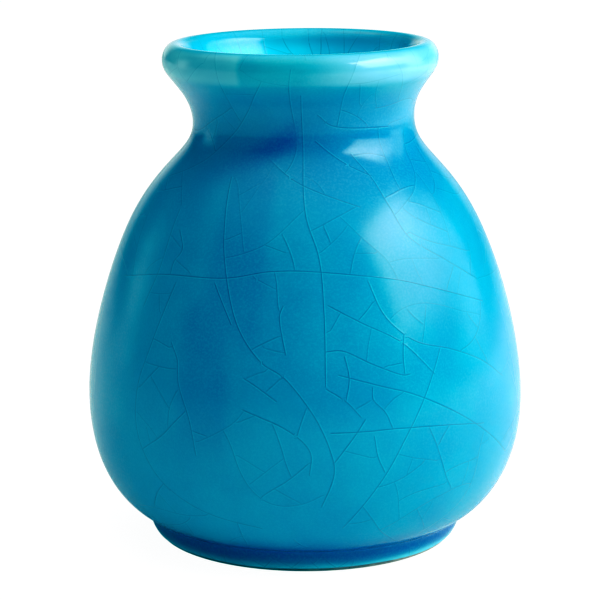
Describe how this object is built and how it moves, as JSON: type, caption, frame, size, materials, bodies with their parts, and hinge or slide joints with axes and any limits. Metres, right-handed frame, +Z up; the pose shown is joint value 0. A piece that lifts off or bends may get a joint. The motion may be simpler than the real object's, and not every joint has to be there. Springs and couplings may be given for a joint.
{
  "type": "bud vase",
  "caption": "Small round-bellied ceramic bud vase with a short waisted neck, a rolled lip and a low turned foot, glazed inside and out in crackled turquoise, for a few short stems.",
  "frame": {"origin": "centre of the foot ring, on the plane that the foot stands on", "axes": "+Z up along the vase's axis of turning, from the foot to the mouth; X and Y are alike, because the vase is round"},
  "size_m": [0.1054, 0.1054, 0.12],
  "materials": {
    "bare_clay": "unglazed, matt",
    "turquoise_glaze": "glossy crackle glaze, darker where it pools",
    "lip_glaze": "glossy crackle glaze, thinner and greener over the lip",
    "inside_glaze": "glossy crackle glaze"
  },
  "bodies": {
    "root": {"clay_body": "bare_clay", "outer_glaze": "turquoise_glaze", "lip_glaze": "lip_glaze", "inner_glaze": "inside_glaze", "recess_glaze": "turquoise_glaze"}
  },
  "joints": []
}
